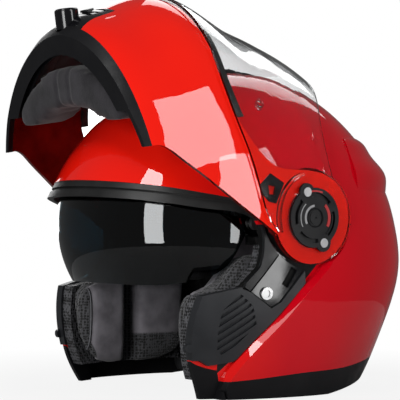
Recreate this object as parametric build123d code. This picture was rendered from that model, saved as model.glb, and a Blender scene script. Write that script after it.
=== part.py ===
"""Modular motorcycle helmet with its chin bar raised. Millimetres, +Z up, face towards -Y.

The chin bar and visor are drawn closed and then turned up about the hinge axis."""
from build123d import *
from functools import cache
import math
import os

# Side outlines have their y origin on the hinge line; everything is placed with this shift, which
# puts the middle of the overall length at the origin
centre_shift = -2.65

# Shell envelope, with the chin bar closed
shell_width = 250.0
shell_top = 245.0
widest_height = 95.0
brow_reach = 149.0
rear_reach = 152.0
chin_bulge = 23.0
chin_bulge_height = 60.0
chin_reach = 175.0
chin_front_height = 65.0
chin_tuck = 26.0
side_tuck = 13.0
rear_tuck = 46.6
skirt_depth = 14.0
shell_wall = 4.0
side_dome_power = 2.4
long_dome_power = 1.85
tuck_power = 1.5
chin_tuck_power = 2.2
side_hold_share = 0.68
nose_hold_share = 0.45
round_hold_share = 0.5523
slant_share = 0.7071
lower_station_shares = (1.0, 0.84, 0.58, 0.32, 0.0)
upper_station_shares = (0.14, 0.27, 0.4, 0.53, 0.66, 0.78, 0.88, 0.95, 0.985)

# Hinge of the chin bar and how far it is raised
hinge_height = 132.0
raised_angle = 82.0
hinge_disc_radius = 34.0
disc_arc_angle = 20.0
hinge_pocket_radius = 36.5
arm_inner_x = 117.0
arm_thickness = 4.0

# Side recess that the arm of the chin bar closes into
recess_depth = 9.0
ledge_line = ((-66.5, -14.0), (-66.0, 8.0), (-63.0, 20.0), (-55.7, 29.2), (-43.7, 42.1),
              (-31.6, 53.7), (-18.7, 66.7), (-3.2, 83.2), (11.0, 96.0), (17.0, 106.0))
ledge_run = 3.0
ledge_inset = 1.5
ledge_step = 1.0
ledge_lip_share = 0.5
recess_front = ((-26.0, 158.0), (-45.0, 141.0), (-62.0, 130.0), (-190.0, 128.0), (-190.0, -14.0))

# Eye port and jaw edge of the shell, as seen from the side
port_outline = ((-76.0, 0.0), (-83.0, 15.0), (-88.0, 30.0), (-90.0, 45.0), (-89.0, 60.0),
                (-85.0, 76.0))
jaw_peak = (-56.0, 82.0)
port_side = ((-42.0, 96.0), (-38.5, 108.0), (-38.5, 124.0), (-45.0, 137.0))
brow_line = ((-76.0, 149.5), (-104.0, 155.5), (-134.0, 160.6))
open_front = -200.0
half_span = 140.0
port_overrun = 3.0
overcut = 1.0
halving_steps = 40

# Edge trim
trim_line = ((-92.0, 33.0), (-87.0, 28.0), (-77.0, 23.5), (-68.5, 21.5), (-66.0, 13.4),
             (-36.8, 15.3), (-2.2, 17.9), (37.5, 19.3), (72.7, 22.4), (121.0, 25.8), (170.0, 30.0))
stand_length = 25.0
rear_lift = 18.0

# Brow seal and side frames of the eye port
seal_foot = ((-41.5, 121.0), (-47.0, 131.0), (-76.0, 138.5), (-104.0, 143.5), (-136.0, 148.0))
seal_proud_gap = 0.4
seal_depth_gap = 5.0
seal_groove = 1.8
seal_groove_width = 2.6
seal_overrun = 4.0
seal_end_radius = 46.0
frame_outline = ((-54.0, 82.0), (-49.8, 79.2), (-23.6, 109.6), (-26.0, 128.0), (-38.5, 127.0))
frame_skin_gap = 6.3

# Panels on the floor of the recess
panel_skin_gap = 5.6
panel_foot = ((-59.5, 27.6), (-77.0, 25.2), (-86.5, 31.0))
panel_strip = ((-4.5, 93.0), (-19.0, 76.5), (-24.4, 70.0), (-32.0, 66.0), (-49.3, 78.0))
louvre_field = ((-57.5, 77.5), (-70.5, 65.0), (-72.0, 50.0), (-71.5, 37.0), (-66.5, 31.5),
                (-43.0, 54.0), (-47.0, 68.0))
louvre_count = 9
louvre_depth_gap = 7.6
louvre_rise = 5.0
louvre_width = 2.4
louvre_angle = 33.0
louvre_lean_share = 0.35
louvre_length = 60.0
louvre_foot = (-66.0, 33.0)
panel_edge = 0.8
panel_wrap = 4.5
panel_wrap_span = (29.0, 90.0)
catch_place = (-87.0, 38.0)
catch_radius = 3.2
catch_reach = 3.4
plate_outline = ((-48.6, 78.6), (-32.0, 67.2), (-25.4, 70.8), (-20.0, 77.2), (-6.0, 93.2),
                 (-10.5, 97.5), (-23.4, 108.2))
plate_skin_gap = 6.6
slot_middle = (-17.5, 88.5)
slot_length = 15.0
slot_width = 6.0
slot_angle = 58.0
stud_place = (-37.0, 77.0)
stud_radius = 4.6
stud_top_gap = 4.7
stud_groove_radius = 2.6
stud_groove_depth = 0.8
panel_clear_radius = 37.8

# Hinge bolts
bolt_radius = 5.0
bolt_head_radius = 8.0
bolt_head_low = 119.3
bolt_head_high = 120.7
bolt_fit = 0.06
boss_radius = 13.0
boss_face_x = 116.4
boss_foot_x = 112.0
bolt_nut_radius = 8.5
bolt_end_x = 105.0
nut_face_x = 108.0
float_gap = 0.35

# Chin bar
bar_wall = 4.0
bar_foot_height = 12.0
arm_rear = ((-68.5, 12.0), (-68.0, 18.5), (-58.3, 30.3), (-45.4, 43.2), (-33.4, 55.0),
            (-20.5, 67.9), (-5.8, 83.4), (9.0, 99.2))
arm_front = ((-31.0, 146.0), (-35.0, 132.0), (-37.5, 118.0), (-41.0, 106.0), (-50.0, 96.0),
             (-64.0, 88.0), (-80.0, 82.0), (-104.0, 80.5), (-119.0, 82.0), (-133.0, 84.8),
             (-147.0, 87.0), (-166.0, 90.5), (-184.0, 93.5))
arm_pocket_radius = 35.4
arm_rim = 1.8
bar_seal_height = 6.0
bar_seal_gap = 0.4
bar_seal_depth_gap = 5.0
lip_top = 12.0
lip_foot = 5.5
lip_rear_rise = 1.5
lip_inner_gap = 15.0
lip_side_reach = -95.0
bar_frame_gap = 16.0
bar_frame_reach = -97.0
bar_frame_top = 78.0
bar_frame_rise = 8.0

# Centre vent panel of the chin bar
vent_half_width = 27.0
vent_top_half_width = 24.0
vent_top = 45.0
vent_slat_count = 3
vent_slat_height = 3.2
vent_slat_pitch = 7.0
vent_slat_foot = 22.0
vent_slat_half_width = 17.0
knob_height = 17.0
knob_radius = 9.0
knob_front = 174.0
knob_back = 158.5
knob_stem_radius = 4.0
knob_stem_back = 148.0
knob_fit = 0.3
knob_travel = 4.0
knob_edge = 2.5

# Visor
visor_gap = 1.5
visor_wall = 2.2
visor_foot = ((6.0, 98.5), (-6.0, 90.0), (-27.0, 86.0), (-53.0, 83.3), (-78.0, 79.8),
              (-104.0, 79.2), (-119.0, 80.7), (-133.0, 83.4), (-147.0, 85.6), (-166.0, 89.0),
              (-186.0, 92.0))
visor_head = ((-22.0, 157.0), (-40.0, 156.5), (-55.0, 159.0), (-70.0, 165.0), (-84.0, 175.5),
              (-97.0, 190.0), (-108.0, 206.0))
visor_rear = 4.0
ear_low_x = 121.35
ear_high_x = 123.5
ear_radius = 34.6
ear_wall = 2.0
ear_bore_radius = 22.4

# Ratchet plates
ratchet_radius = 22.0
ratchet_high_x = 125.6
ratchet_lug_low_x = 123.9
ratchet_lug_radius = 6.5
screw_head_radius = 3.4
screw_shank_radius = 1.6
screw_seat_x = 124.4
ratchet_screw_reach = 20.2
ratchet_screw_angles = (15.0, 193.0)
ratchet_arc_low = 15.5
ratchet_arc_high = 18.5
ratchet_arc_depth = 2.4
ratchet_arc_span_angle = 62.0
ratchet_arc_angles = (35.0, 120.0, 215.0, 300.0)
screw_rise = 0.8

# Sun lens, round about its own hinge line
lens_hinge = (-34.0, 128.0)
lens_reach = 94.0
lens_half_width = 96.0
lens_hold_share = 0.61
lens_wall = 2.2
lens_foot_angle = 110.0
lens_top_angle = 17.0
lens_foot = ((-140.0, 85.5), (-116.0, 83.0), (-96.0, 82.6), (-78.0, 85.0), (-64.0, 89.5),
             (-53.0, 98.0), (-46.0, 110.0), (-41.0, 120.0))
lens_ear_radius = 10.0
lens_swing_angle = 44.0
lens_pocket_inner = 1.8
lens_pocket_outer = 1.6
lens_pocket_over_angle = 4.0
block_pocket_angles = (-140.0, 100.0)
lens_pin_radius = 2.6
lens_pin_fit = 0.06
lens_pin_low = 91.5
lens_pin_high = 100.0
lens_pin_flange = 5.0

# Rear spoiler: height and how far the section moves back, from its lower edge up
spoiler_stations = ((150.5, 1.0), (155.0, 4.0), (161.0, 7.6), (166.0, 9.0), (173.0, 7.4), (182.0, 5.4),
                    (192.0, 3.8), (204.0, 0.6))
spoiler_sink = 1.0
spoiler_slot_places = (-30.0, 30.0)
spoiler_slot_width = 34.0
spoiler_slot_height = 3.4
spoiler_slot_wall = 2.0
spoiler_slot_foot = 156.6
spoiler_front = 52.0

# Hook plate on each arm, which holds the visor down
hook_outline = ((-37.3, 97.6), (-28.9, 108.2), (-15.3, 98.2), (-17.6, 92.2), (-24.6, 86.9), (-31.0, 87.8))
hook_window = ((-29.6, 94.0), (-27.0, 101.0), (-21.8, 98.6), (-22.6, 93.4))
hook_proud_gap = -0.7
hook_seat_gap = 2.2

# Pins that hold a fog insert to the visor
insert_pin_place = (110.4, -87.0, 104.0)
insert_pin_angle = 35.0
insert_pin_head = 3.6
insert_pin_shank = 2.0
insert_pin_rise = 0.9

# Latch hooks at the rear ends of the chin frame
latch_x = 85.5
latch_thickness = 3.6
latch_low = 34.0
latch_high = 43.0
latch_front = -106.0
latch_back = -91.6
latch_nose = 2.0
latch_fit = 0.4
latch_travel = 3.0

# Slider of the chin vent
chin_slider_height = 5.4
chin_slider_width = 11.0
chin_slider_travel = 6.0
chin_slider_rise = 1.8
chin_slider_fit = 0.4
chin_slider_tail_gap = 1.2
chin_slider_tail = 1.4

# Linings
liner_gap = 34.0
cheek_top = 112.0
cheek_rear = 22.0
nape_foot = 52.0
block_gap = 24.0
block_port_back = 2.5
cavity_foot = 14.0
comfort_depth = 9.0
crown_foot = 10.0
nape_front = 44.0
pad_parting = 1.0
roll_gap = 4.3
roll_inner_gap = 24.0
roll_top = 49.0
pad_outline = ((-74.0, 16.0), (-86.0, 30.0), (-90.0, 46.0), (-89.5, 62.0), (-84.0, 76.0),
               (-67.0, 83.5), (-54.0, 95.0), (-44.0, 104.0), (-25.0, 106.5), (6.0, 104.0),
               (17.0, 90.0), (19.0, 60.0), (16.0, 24.0), (-4.0, 14.0), (-40.0, 12.5))
pad_places = (98.0, 84.0, 73.0, 66.0, 62.0)
pad_shares = (1.0, 1.0, 0.97, 0.86, 0.62)
pad_middle = (-36.0, 58.0)
pad_gap = 24.4

chin_pad_side = ((0.0, 30.0), (16.0, 24.0), (40.0, 20.0), (58.0, 30.0), (60.0, 50.0), (48.0, 66.0),
                 (24.0, 70.0), (0.0, 66.0))
chin_pad_depth = 14.0
pad_seat = 0.3

# Crown vent, and the slider in its track that works the sun lens
crown_vent_middle = 13.0
crown_vent_half_length = 19.0
crown_vent_half_width = 17.0
crown_vent_rise = 2.2
crown_track_place = (18.0, 243.8)
crown_track_angle = 9.5
crown_slider_length = 11.0
crown_slider_width = 14.0
crown_slider_thickness = 2.6
crown_slider_travel = 13.0
crown_slider_fit = 0.3


def at(x, y, z, turns=(0, 0, 0)):
    """Place in the frame of the part, from a place in the frame of the side outlines."""
    return Location((x, y + centre_shift, z), turns)


def envelope(height, gap):
    """Half width, front reach and rear reach at a height, drawn in by the gap."""
    half, brow, rear = shell_width / 2 - gap, brow_reach - gap, rear_reach - gap
    if height > widest_height:
        rise = min(1.0, (height - widest_height) / (shell_top - gap - widest_height))
        slim = (1 - rise ** side_dome_power) ** (1 / side_dome_power)
        short = (1 - rise ** long_dome_power) ** (1 / long_dome_power)
        swell = max(0.0, 1 - (height - widest_height) / chin_bulge_height) ** 2
        return half * slim, brow * short + chin_bulge * swell, rear * short
    drop = ((widest_height - height) / widest_height) ** tuck_power
    if height > chin_front_height:
        near = (height - chin_front_height) / (widest_height - chin_front_height)
        front = chin_reach - gap - (chin_reach - brow_reach - chin_bulge) * near ** 2
    else:
        low = (chin_front_height - height) / chin_front_height
        front = chin_reach - gap - chin_tuck * low ** chin_tuck_power
    return half - side_tuck * drop, front, rear - rear_tuck * drop


def holds(height):
    """Handle shares of the front quarter: full at the chin, round at the dome."""
    ease = min(1.0, max(0.0, (height - widest_height) / chin_bulge_height))
    side = side_hold_share + (round_hold_share - side_hold_share) * ease
    nose = nose_hold_share + (round_hold_share - nose_hold_share) * ease
    return side, nose


def plan_wire(height, gap):
    """Closed plan section of the envelope at a height."""
    half, front, rear = envelope(height, gap)
    side, nose = holds(height)
    back = round_hold_share
    quarters = [
        Edge.make_bezier((half, 0), (half, -front * side), (half * nose, -front), (0, -front)),
        Edge.make_bezier((0, -front), (-half * nose, -front), (-half, -front * side), (-half, 0)),
        Edge.make_bezier((-half, 0), (-half, rear * back), (-half * back, rear), (0, rear)),
        Edge.make_bezier((0, rear), (half * back, rear), (half, rear * back), (half, 0)),
    ]
    return Wire(quarters).moved(at(0, 0, height))


@cache
def form(gap, ruled=False):
    """Solid envelope, drawn in by the gap on every side."""
    top = shell_top - gap
    heights = [widest_height - share * (widest_height + skirt_depth) for share in lower_station_shares]
    heights += [widest_height + share * (top - widest_height) for share in upper_station_shares]
    wires = [plan_wire(height, gap) for height in heights]
    return Solid.make_loft(wires + [Vertex(0, centre_shift, top)], ruled)


def lining_form(gap):
    """Envelope in flat bands, for the faces of linings that no one sees."""
    return form(gap, True)


def side_x(y, z, gap=0.0):
    """Half width of the envelope at a side point."""
    half, front, rear = envelope(z, gap)
    side, nose = holds(z)
    reach, near, far = (front, side, nose) if y < 0 else (rear, round_hold_share, round_hold_share)
    low, high = 0.0, 1.0
    for _ in range(halving_steps):
        mid = (low + high) / 2
        keep = 1 - mid
        along = reach * (3 * keep ** 2 * mid * near + 3 * keep * mid ** 2 + mid ** 3)
        low, high = (mid, high) if along < abs(y) else (low, mid)
    keep = 1 - low
    return half * (keep ** 3 + 3 * keep ** 2 * low + 3 * keep * low ** 2 * far)


def prism(line, low, high):
    """Solid with a side outline, between two places across the helmet."""
    face = make_face(Plane.YZ * line)
    return extrude(face.moved(at(low, 0, 0)), amount=high - low, dir=(1, 0, 0))


def across(line):
    """Prism right through both sides."""
    return prism(line, -half_span, half_span)


def both(solid):
    """The solid and its mirror image on the other side."""
    return solid + mirror(solid, Plane.YZ)


def drum(radius, low, high, y=0.0, z=hinge_height):
    """Cylinder lying across the helmet, between two places."""
    return at((low + high) / 2, y, z, (0, 90, 0)) * Cylinder(radius, high - low)


def fallen(point, run):
    """Side point moved down and back from the ledge by a distance."""
    return point[0] + run * slant_share, point[1] - run * slant_share


def ledge_wedge(grow):
    """Tool that slopes the ledge from the recess floor up to the envelope, on one side."""
    quads = []
    for point in ledge_line:
        foot, crest = fallen(point, grow - ledge_inset), fallen(point, grow + ledge_run)
        low = Vector(side_x(*foot, grow + recess_depth) + ledge_step, *foot)
        high = Vector(side_x(*crest, grow), *crest)
        lip = high + (high - low) * ledge_lip_share
        over = half_span + grow
        quads.append(Wire.make_polygon([low, lip, (over, lip.Y, lip.Z), (over, low.Y, low.Z)]))
    return Solid.make_loft([quad.moved(at(0, 0, 0)) for quad in quads])


def recess_floor(grow):
    """Tool for the straight-walled part of the recess on one side: arm outline and hinge circle."""
    line = [fallen(point, grow) for point in ledge_line]
    rim = [line[-1], (0, hinge_height)]
    rim += [(y + grow / 2, z + grow) for y, z in recess_front[:2]] + list(recess_front[2:])
    low, high = shell_width / 4, half_span + grow
    return (prism(Spline(*line) + Polyline(*rim, line[0]), low, high)
            + drum(hinge_pocket_radius + grow, low, high))


@cache
def core(gap):
    """Envelope with the arm recesses sunk into both sides, drawn in by the gap."""
    floor = recess_floor(gap) - form(gap + recess_depth)
    return form(gap) - both(floor) - both(ledge_wedge(gap))


def port_line(back=0.0):
    """Outline of what is open at the front, moved back by a distance."""
    lower = [(y + back, z) for y, z in port_outline]
    brow = [(y, z + back) for y, z in brow_line]
    side = [(y + back, z + back / 2) for y, z in port_side]
    peak = (jaw_peak[0] + back, jaw_peak[1] - back)
    low_end = (lower[0][0], -skirt_depth * 2)
    return (Polyline((open_front, brow[-1][1] + port_overrun), (open_front, low_end[1]), low_end, lower[0])
            + Spline(*lower) + Polyline(lower[-1], peak, side[0]) + Spline(*side, *brow)
            + Polyline(brow[-1], (open_front, brow[-1][1] + port_overrun)))


def trim_outline():
    """Outline of everything under the lower edge of the coloured shell."""
    return (Polyline((open_front, trim_line[0][1]), trim_line[0])
            + Spline(*trim_line[:4]) + Line(trim_line[3], trim_line[4]) + Spline(*trim_line[4:])
            + Polyline(trim_line[-1], (trim_line[-1][0], -skirt_depth * 2),
                       (open_front, -skirt_depth * 2), (open_front, trim_line[0][1])))


def above_stand(solid):
    """What is left of a solid above the line that the helmet stands on."""
    rear = rear_reach + skirt_depth
    line = Polyline((open_front, 0), (stand_length, 0), (rear, rear_lift), (rear, -skirt_depth * 2),
                    (open_front, -skirt_depth * 2), close=True)
    return solid - across(line)


def shell_edge_trim():
    """Band along the lower edge, which carries the helmet when it stands."""
    band = (core(0.0) & across(trim_outline())) - core(shell_wall)
    return above_stand(band - across(port_line()))


def jaw_wrap():
    """Side region of the jaw edge, which the jaw panels wrap round."""
    low, high = panel_wrap_span
    band = Polyline((open_front, low), (jaw_peak[0], low), (jaw_peak[0], high), (open_front, high),
                    close=True)
    return (across(port_line(panel_wrap)) - across(port_line())) & across(band)


def outer_shell():
    """Coloured shell with arm recesses, eye port and hinge bosses."""
    shell = (core(0.0) - across(port_line()) - across(trim_outline()) - jaw_wrap()) - core(shell_wall)
    shell += both(drum(boss_radius, boss_foot_x, boss_face_x))
    return shell - both(drum(bolt_radius, bolt_end_x, boss_face_x + overcut))


def brow_seal():
    """Rubber seal under the brow, with a groove between its two ridges."""
    low_front = (open_front, seal_foot[-1][1])
    top_front = (open_front, brow_line[-1][1] + seal_overrun)
    side = port_side[2][0] + seal_overrun
    band = (Spline(*seal_foot) + Polyline(seal_foot[-1], low_front, top_front)
            + Polyline(top_front, (side, top_front[1]), (side, seal_foot[0][1]), seal_foot[0]))
    region = across(port_line()) & across(band)
    seal = (form(seal_proud_gap) & region) - form(seal_depth_gap)
    low = [(y, z + seal_groove_width * 2) for y, z in seal_foot]
    high = [(y, z + seal_groove_width * 3) for y, z in seal_foot]
    groove = across(Spline(*low) + Line(low[-1], high[-1]) + Spline(*reversed(high)) + Line(high[0], low[0]))
    ends = both(drum(seal_end_radius, shell_width / 4, half_span))
    return seal - (groove - form(seal_proud_gap + seal_groove)) - ends


def recess_skin(line, gap):
    """Skin on the floor of one recess, inside a side outline and clear of the hinge disc."""
    low = shell_width / 4
    skin = (form(gap) & prism(line, low, half_span)) - form(recess_depth)
    return skin - drum(panel_clear_radius, low, half_span)


def port_frame():
    """Satin frame along one side of the eye port."""
    return recess_skin(Polyline(*frame_outline, close=True), frame_skin_gap) - across(port_line())


def jaw_panel():
    """Louvred jaw panel on one side, with a strip running up beside the side plate."""
    ledge = [fallen(point, -panel_edge) for point in ledge_line[3:8]]
    front = [(y + panel_edge, z) for y, z in port_outline[2:]]
    peak = (jaw_peak[0] + panel_edge, jaw_peak[1] - panel_edge * 2)
    line = (Spline(*ledge) + Polyline(ledge[-1], *panel_strip, peak, front[-1])
            + Spline(*reversed(front)) + Polyline(front[0], *reversed(panel_foot), ledge[0]))
    low = shell_width / 4
    wrap = (form(panel_skin_gap) & jaw_wrap() & prism(slab_line(), low, half_span)) - form(
        recess_depth + shell_wall)
    catch = drum(catch_radius, low, half_span, *catch_place)
    nose = (catch.moved(Location((0, -catch_reach, 0))) & form(panel_skin_gap)) - form(recess_depth)
    return recess_skin(line, panel_skin_gap) + wrap + nose - louvres()


def slab_line():
    """Outline that takes in the whole side of the helmet."""
    rear, top = rear_reach * 2, shell_top * 2
    return Polyline((open_front, -skirt_depth), (rear, -skirt_depth), (rear, top), (open_front, top),
                    close=True)


def louvres():
    """Tool for the slanted grooves that leave the louvre ribs standing."""
    field = prism(Polyline(*louvre_field, close=True), shell_width / 4, half_span)
    tools = []
    for index in range(louvre_count):
        along = louvre_rise * (index + 0.5)
        middle = (louvre_foot[0] - along * math.sin(math.radians(louvre_angle)) * louvre_lean_share,
                  louvre_foot[1] + along)
        bar = Box(half_span - shell_width / 4, louvre_length, louvre_width)
        tools.append(at((half_span + shell_width / 4) / 2, *middle, (louvre_angle, 0, 0)) * bar)
    return (Part() + tools) & field - form(louvre_depth_gap)


def side_plate():
    """Glossy plate behind the jaw panel on one side, with its slot."""
    plate = recess_skin(Polyline(*plate_outline, close=True), plate_skin_gap)
    slot = at(shell_width / 2, *slot_middle, (slot_angle, 0, 0)) * Box(
        shell_width / 4, slot_length, slot_width)
    stud = drum(stud_radius, shell_width / 4, half_span, *stud_place)
    return plate - slot - stud


def striker_pin():
    """Stud on one side that the arm closes over, rooted in the shell floor."""
    pin = drum(stud_radius, shell_width / 4, half_span, *stud_place)
    groove = drum(stud_groove_radius, shell_width / 4, half_span, *stud_place)
    pin = (pin & form(stud_top_gap)) - form(recess_depth)
    return pin - (groove - form(stud_top_gap + stud_groove_depth))


def rear_spoiler():
    """Lip over the back of the shell, with two exhaust slots under its edge."""
    wires = [plan_wire(height, spoiler_sink).moved(Location((0, back, 0)))
             for height, back in spoiler_stations]
    lip = Solid.make_loft(wires) - form(0.0)
    lip = lip & across(Polyline((spoiler_front, 0), (rear_reach * 2, 0), (rear_reach * 2, shell_top),
                                (spoiler_front, shell_top), close=True))
    for middle in spoiler_slot_places:
        height = spoiler_slot_foot + spoiler_slot_height / 2
        slot = at(middle, rear_reach, height) * Box(spoiler_slot_width, rear_reach, spoiler_slot_height)
        lip -= slot - form(-spoiler_slot_wall)
    return lip


def hinge_bolt():
    """Bolt on one side: head in the arm, shank through the boss, nut inside."""
    return (drum(bolt_radius, bolt_end_x, bolt_head_low)
            + drum(bolt_head_radius, bolt_head_low, bolt_head_high)
            + drum(bolt_nut_radius, bolt_end_x, nut_face_x))


def arm_line():
    """Side outline of the closed chin bar with its arm and hinge disc."""
    start, end = arm_rear[-1], arm_front[0]
    turn = math.radians(disc_arc_angle)
    back = (math.cos(turn) * hinge_disc_radius, hinge_height + math.sin(turn) * hinge_disc_radius)
    low_front = (open_front, bar_foot_height)
    return (Spline(*arm_rear) + ThreePointArc(start, back, end) + Spline(*arm_front)
            + Polyline(arm_front[-1], (open_front, arm_front[-1][1]), low_front, arm_rear[0]))


def raised(solid):
    """A solid drawn closed, turned up about the hinge of the chin bar."""
    return solid.rotate(Axis((0, centre_shift, hinge_height), (1, 0, 0)), -raised_angle)


@cache
def bar_form(gap, ruled=False):
    """Envelope turned up with the chin bar."""
    return raised(form(gap, ruled))


def bar_across(line):
    """Prism right through both sides, turned up with the chin bar."""
    return raised(across(line))


def bar_drum(radius, low, high, y=0.0, z=hinge_height):
    """Cylinder lying across the helmet, turned up with the chin bar."""
    return raised(drum(radius, low, high, y, z))


def front_drum(radius, front, back):
    """Cylinder lying along the helmet at the button, turned up with the chin bar."""
    return raised(at(0, -(front + back) / 2, knob_height, (90, 0, 0)) * Cylinder(radius, front - back))


def bar_block(low, high, half_low, half_high):
    """Tool for the front of the chin, a trapezium between two heights, turned up with it."""
    line = Polyline((-half_low, low), (half_low, low), (half_high, high), (-half_high, high), close=True)
    face = make_face(Plane.XZ * line)
    return raised(extrude(face, amount=chin_reach * 2, dir=(0, -1, 0)))


def wedge_at(start, span):
    """Sector across one side about the hinge, from an angle through a span."""
    reach = hinge_disc_radius * 2
    points = [(0, hinge_height)]
    for angle in (start, start + span / 2, start + span):
        turn = math.radians(angle)
        points.append((reach * math.cos(turn), hinge_height + reach * math.sin(turn)))
    return prism(Polyline(*points, close=True), shell_width / 4, half_span)


def chin_bar_shell():
    """Coloured chin bar: chin skin, two arms and their hinge discs."""
    outline = bar_across(arm_line())
    skin = (bar_form(0.0) & outline) - bar_form(bar_wall)
    skin -= both(bar_drum(arm_pocket_radius, shell_width / 4, half_span))
    outer = arm_pocket_radius + arm_rim
    rim = bar_drum(outer, arm_inner_x, half_span) - bar_drum(arm_pocket_radius, arm_inner_x, half_span)
    rim = rim & (bar_form(0.0) & outline)
    disc = bar_drum(hinge_disc_radius, arm_inner_x, arm_inner_x + arm_thickness)
    sector = bar_drum(outer, arm_inner_x, arm_inner_x + arm_thickness) & outline
    bore = bar_drum(bolt_radius + bolt_fit, arm_inner_x - overcut, half_span)
    seat = bar_drum(bolt_head_radius + float_gap, bolt_head_low - float_gap, half_span)
    plates = both(hook_prism(hook_outline) - bar_form(hook_seat_gap))
    return skin + both(rim) + both(disc + sector) - both(bore + seat) - vent_opening() - plates


def hook_prism(points):
    """Prism with a side outline over one arm, turned up with the chin bar."""
    return raised(prism(Polyline(*points, close=True), shell_width / 4, half_span))


def visor_hook():
    """Plate let into one arm, with a window that the visor catches in."""
    plate = bar_form(hook_proud_gap) & (hook_prism(hook_outline) - hook_prism(hook_window))
    return plate - bar_form(hook_seat_gap)


def insert_place():
    """Place and direction of one insert pin of the visor, before it is turned up."""
    x, y, z = insert_pin_place
    return at(x, y, z, (0, 0, -insert_pin_angle)) * Location((0, 0, 0), (0, 90, 0))


def insert_bore(radius):
    """Cylinder through the visor at one insert pin."""
    return raised(insert_place() * Cylinder(radius, insert_pin_head * 6))


def insert_pin():
    """Pin through one side of the visor, with a head on each face."""
    head = insert_bore(insert_pin_head)
    outside = visor_gap + visor_wall
    outer = (head & bar_form(-outside - insert_pin_rise)) - bar_form(-outside)
    inner = (head & bar_form(-visor_gap)) - bar_form(-visor_gap + insert_pin_rise)
    shank = (insert_bore(insert_pin_shank) & bar_form(-outside)) - bar_form(-visor_gap)
    return outer + shank + inner


def latch_block(front, back, grow=0.0):
    """Block at one rear end of the chin frame, between two places along the helmet."""
    return at(latch_x, (front + back) / 2, (latch_low + latch_high) / 2) * Box(
        latch_thickness + grow * 2, back - front, latch_high - latch_low + grow * 2)


def latch_hook():
    """Hook in one rear end of the chin frame, with a nose that points down at its tip."""
    nose = at(latch_x, latch_back - latch_nose / 2, latch_low) * Box(
        latch_thickness, latch_nose, latch_nose * 2)
    return raised(latch_block(latch_front, latch_back) + nose)


def vent_opening():
    """Opening in the chin bar that the vent panel fills."""
    return bar_block(bar_foot_height, vent_top, vent_half_width, vent_top_half_width)


def chin_vent_panel():
    """Black vent panel in the middle of the chin, with slots and the button's bore."""
    panel = (bar_form(0.0) & vent_opening()) - bar_form(bar_wall)
    for index in range(vent_slat_count):
        low = vent_slat_foot + knob_radius / 2 + index * vent_slat_pitch
        panel -= bar_block(low, low + vent_slat_height, vent_slat_half_width, vent_slat_half_width)
    bore = front_drum(knob_radius + knob_fit, chin_reach * 2, knob_stem_back)
    return panel - bore


def chin_slider_heights(grow=0.0):
    """Lower and upper height of the slider's grip and tail."""
    middle = vent_slat_foot + knob_radius / 2 + vent_slat_pitch + vent_slat_height / 2
    half = chin_slider_height / 2 + grow
    return middle - half, middle + half


def chin_vent_slider():
    """Slider in the middle slot of the chin vent: grip, neck and tail."""
    foot, top = chin_slider_heights()
    half = chin_slider_width / 2
    block = bar_block(foot, top, half, half)
    outside = bar_form(-chin_slider_fit)
    back = bar_wall + chin_slider_tail_gap
    grip = (bar_form(-chin_slider_fit - chin_slider_rise) & block) - outside
    tail = (bar_form(back) & block) - bar_form(back + chin_slider_tail)
    low = (foot + top - vent_slat_height) / 2 + chin_slider_fit
    high = (foot + top + vent_slat_height) / 2 - chin_slider_fit
    neck = (outside & bar_block(low, high, half, half)) - bar_form(back)
    return grip + neck + tail


def chin_lip_trim():
    """Black lip round the lower edge of the chin bar."""
    rear = arm_rear[0][0]
    front = Polyline((open_front, lip_foot), (lip_side_reach, lip_foot), (rear, lip_foot + lip_rear_rise),
                     (rear, lip_top), (open_front, lip_top), close=True)
    deep = Polyline((open_front, lip_foot), (lip_side_reach, lip_foot), (lip_side_reach, lip_top),
                    (open_front, lip_top), close=True)
    lip = ((bar_form(0.0) & bar_across(front)) - bar_form(bar_wall)) + (
        (bar_form(bar_wall) & bar_across(deep)) - bar_form(lip_inner_gap))
    bore = front_drum(knob_radius + knob_fit, chin_reach * 2, knob_stem_back)
    return lip - bore


def chin_frame():
    """Inner frame of the chin bar, behind the coloured skin."""
    line = Polyline((open_front, lip_top), (bar_frame_reach, lip_top), (bar_frame_reach, bar_frame_top),
                    (open_front, bar_frame_top + bar_frame_rise), close=True)
    frame = (bar_form(bar_wall) & bar_across(line)) - bar_form(bar_frame_gap, True)
    stem = front_drum(knob_stem_radius + knob_fit, chin_reach * 2, widest_height)
    pocket = front_drum(knob_radius + knob_fit, chin_reach * 2, knob_back - knob_travel - knob_fit)
    latches = both(raised(latch_block(latch_front - latch_travel - latch_fit, 0, latch_fit)))
    room = chin_slider_width / 2 + chin_slider_travel + chin_slider_fit
    foot, top = chin_slider_heights(chin_slider_fit)
    depth = bar_wall + chin_slider_tail_gap * 2 + chin_slider_tail
    slide = bar_block(foot, top, room, room) - bar_form(depth)
    return frame - stem - pocket - latches - slide


def bar_seal():
    """Rubber seal along the top edge of the chin bar, behind the visor."""
    low = arm_front[6:]
    high = [(y, z + bar_seal_height) for y, z in low]
    line = Spline(*low) + Line(low[-1], high[-1]) + Spline(*reversed(high)) + Line(high[0], low[0])
    band = bar_across(line) - bar_across(arm_line())
    return (bar_form(bar_seal_gap) & band) - bar_form(bar_seal_depth_gap)


def release_button():
    """Round button at the lip, on a stem that runs back into the frame."""
    knob = front_drum(knob_radius, knob_front, knob_back)
    knob = fillet(knob.edges().sort_by(Axis.Z)[-1:], knob_edge)
    return knob + front_drum(knob_stem_radius, knob_back, knob_stem_back)


def visor_line():
    """Side outline of the closed visor without its ears."""
    front = (open_front, visor_foot[-1][1])
    top = (open_front, visor_head[-1][1])
    return (Spline(*visor_foot) + Polyline(visor_foot[-1], front, top, visor_head[-1])
            + Spline(*reversed(visor_head))
            + Polyline(visor_head[0], (visor_rear, hinge_height), visor_foot[0]))


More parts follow.
